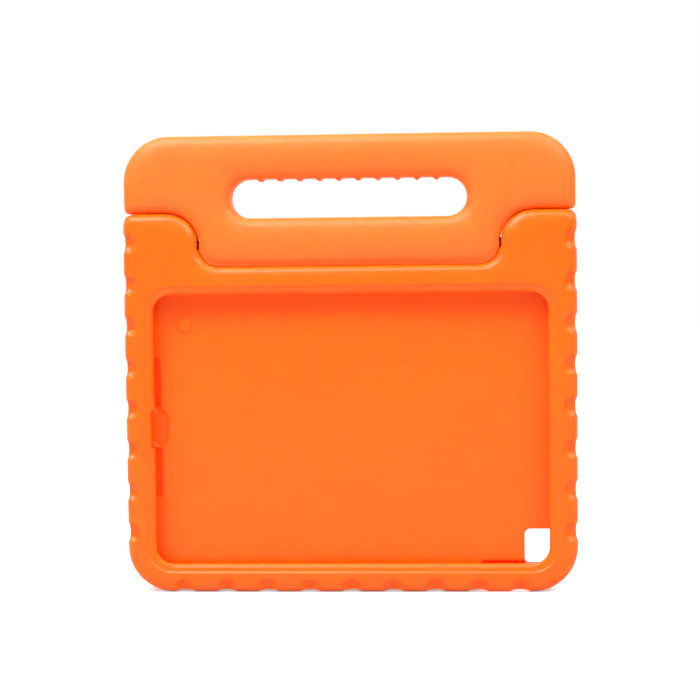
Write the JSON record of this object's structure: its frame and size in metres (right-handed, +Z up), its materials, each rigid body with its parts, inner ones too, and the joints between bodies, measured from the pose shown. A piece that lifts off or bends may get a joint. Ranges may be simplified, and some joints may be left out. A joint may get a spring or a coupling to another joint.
{
  "type": "kids tablet case",
  "caption": "Moulded foam tablet case with a front lip, port cut-outs and a carry handle that folds back on hinge pins.",
  "frame": {"origin": "centre of the bottom edge that the case stands on, halfway through its thickness", "axes": "+X to the right seen from the front, +Y from the front to the back, +Z up towards the handle"},
  "size_m": [0.264, 0.026, 0.2669],
  "materials": {
    "foam": "satin moulded EVA foam, bright orange",
    "bush_plastic": "matte black nylon",
    "pin_steel": "drawn steel"
  },
  "bodies": {
    "case": {"case_body": "foam", "shoulder_bush_left": "bush_plastic", "shoulder_bush_right": "bush_plastic"},
    "carry_handle": {"handle": "foam", "tongue_bush_left": "bush_plastic", "tongue_bush_right": "bush_plastic", "hinge_pin_left": "pin_steel", "hinge_pin_right": "pin_steel"}
  },
  "joints": [
    {"name": "handle_fold", "type": "hinge", "parent": "case", "child": "carry_handle", "pos_m": [0, 0, 0.2038], "axis": [-1, 0, 0], "range_deg": [0, 90]}
  ]
}
